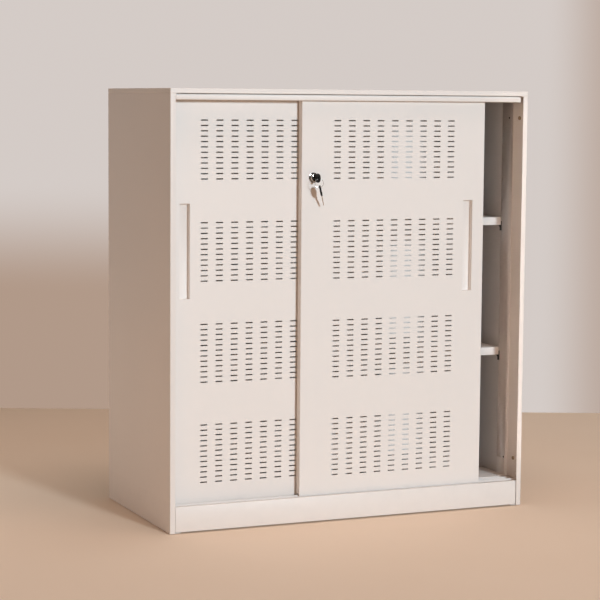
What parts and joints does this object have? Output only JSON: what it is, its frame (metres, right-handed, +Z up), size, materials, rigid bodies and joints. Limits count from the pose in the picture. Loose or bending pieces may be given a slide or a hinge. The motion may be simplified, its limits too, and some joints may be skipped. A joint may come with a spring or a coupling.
{
  "type": "sliding door cabinet",
  "caption": "Steel storage cabinet with slotted sliding doors on rails, recessed handles, shelves on slotted uprights and a push lock with keys.",
  "frame": {"origin": "on the floor, in the middle of the cabinet's width and depth", "axes": "+X to the right seen from in front, +Y to the rear, +Z up"},
  "size_m": [0.9, 0.4674, 0.995],
  "materials": {
    "shell": "semi-matte powder coat, warm off-white",
    "door": "semi-matte powder coat, warm off-white",
    "shelf": "semi-matte powder coat, warm off-white",
    "screws": "zinc plated",
    "zinc_bracket": "zinc plated",
    "spring_steel": "bright drawn",
    "lock_chrome": "polished chrome plate",
    "lock_core": "satin nickel plate",
    "key_plastic": "moulded black",
    "key_steel": "nickel plated",
    "nylon": "natural nylon",
    "black_plastic": "moulded black",
    "stop_rubber": "soft clear brown"
  },
  "bodies": {
    "carcass": {"top_panel": "shell", "right_side_panel": "shell", "left_side_panel": "shell", "back_panel": "shell", "back_screws": "screws", "base_frame": "shell", "bottom_panel": "shell", "front_rail": "shell", "rear_rail": "shell", "top_track": "shell", "right_front_upright": "shell", "left_front_upright": "shell", "right_rear_upright": "shell", "left_rear_upright": "shell", "upright_brackets": "shell", "upright_rivets": "black_plastic", "lower_shelf": "shelf", "upper_shelf": "shelf", "lower_shelf_clips": "black_plastic", "upper_shelf_clips": "black_plastic", "right_door_stops": "stop_rubber", "left_door_stops": "stop_rubber", "base_tabs": "shell"},
    "right_door": {"right_door_panel": "door", "right_door_bottom_channel": "door", "right_door_top_channel": "door", "right_door_handle_cup": "door", "right_door_roller_brackets": "zinc_bracket", "right_door_roller_axles": "spring_steel", "right_door_top_guides": "nylon", "lock_housing": "lock_chrome", "lock_nut": "zinc_bracket", "lock_spring": "spring_steel"},
    "left_door": {"left_door_panel": "door", "left_door_bottom_channel": "door", "left_door_top_channel": "door", "left_door_handle_cup": "door", "left_door_roller_brackets": "zinc_bracket", "left_door_roller_axles": "spring_steel", "left_door_top_guides": "nylon", "strike_plate": "zinc_bracket", "strike_rivets": "spring_steel"},
    "lock_plunger": {"lock_plunger": "lock_chrome"},
    "lock_plug": {"lock_plug": "lock_core"},
    "key": {"key_bow": "key_plastic", "key_blade": "key_steel"},
    "key_ring": {"key_ring": "key_steel"},
    "spare_key": {"spare_key_bow": "key_plastic", "spare_key_blade": "key_steel"},
    "right_door_inner_roller": {"right_door_inner_roller": "nylon"},
    "right_door_outer_roller": {"right_door_outer_roller": "nylon"},
    "left_door_inner_roller": {"left_door_inner_roller": "nylon"},
    "left_door_outer_roller": {"left_door_outer_roller": "nylon"}
  },
  "joints": [
    {"name": "right_door_slide", "type": "slide", "parent": "carcass", "child": "right_door", "axis": [1, 0, 0], "range_m": [-0.3167, 0.1023]},
    {"name": "left_door_slide", "type": "slide", "parent": "carcass", "child": "left_door", "axis": [-1, 0, 0], "range_m": [-0.419, 0]},
    {"name": "right_door_inner_roller_spin", "type": "hinge", "parent": "right_door", "child": "right_door_inner_roller", "pos_m": [-0.0833, -0.19685, 0.0713], "axis": [0, 1, 0], "continuous": true},
    {"name": "right_door_outer_roller_spin", "type": "hinge", "parent": "right_door", "child": "right_door_outer_roller", "pos_m": [0.2977, -0.19685, 0.0713], "axis": [0, 1, 0], "continuous": true},
    {"name": "left_door_inner_roller_spin", "type": "hinge", "parent": "left_door", "child": "left_door_inner_roller", "pos_m": [-0.019, -0.17485, 0.0713], "axis": [0, 1, 0], "continuous": true},
    {"name": "left_door_outer_roller_spin", "type": "hinge", "parent": "left_door", "child": "left_door_outer_roller", "pos_m": [-0.4, -0.17485, 0.0713], "axis": [0, 1, 0], "continuous": true},
    {"name": "lock_push", "type": "slide", "parent": "right_door", "child": "lock_plunger", "axis": [0, 1, 0], "range_m": [0, 0.008], "stiffness_N_per_m": 250, "deforming": ["lock_spring"]},
    {"name": "key_turn", "type": "hinge", "parent": "lock_plunger", "child": "lock_plug", "pos_m": [-0.0988, -0.2055, 0.795], "axis": [0, 1, 0], "range_deg": [0, 90]},
    {"name": "key_pull", "type": "slide", "parent": "lock_plug", "child": "key", "axis": [0, -1, 0], "range_m": [0, 0.021]},
    {"name": "ring_swing", "type": "hinge", "parent": "key", "child": "key_ring", "pos_m": [-0.0988, -0.2374, 0.7938], "axis": [0.9816, -0.1908, 0], "range_deg": [-60, 8]},
    {"name": "spare_key_slide", "type": "hinge", "parent": "key_ring", "child": "spare_key", "pos_m": [-0.0988, -0.2374, 0.7838], "axis": [0.1908, 0.9816, 0], "range_deg": [-50, 50]}
  ],
  "couplings": [
    {"joint": "right_door_inner_roller_spin", "follows": "right_door_slide", "rad_per_m": 111.11},
    {"joint": "right_door_outer_roller_spin", "follows": "right_door_slide", "rad_per_m": 111.11},
    {"joint": "left_door_inner_roller_spin", "follows": "left_door_slide", "rad_per_m": -111.11},
    {"joint": "left_door_outer_roller_spin", "follows": "left_door_slide", "rad_per_m": -111.11}
  ]
}
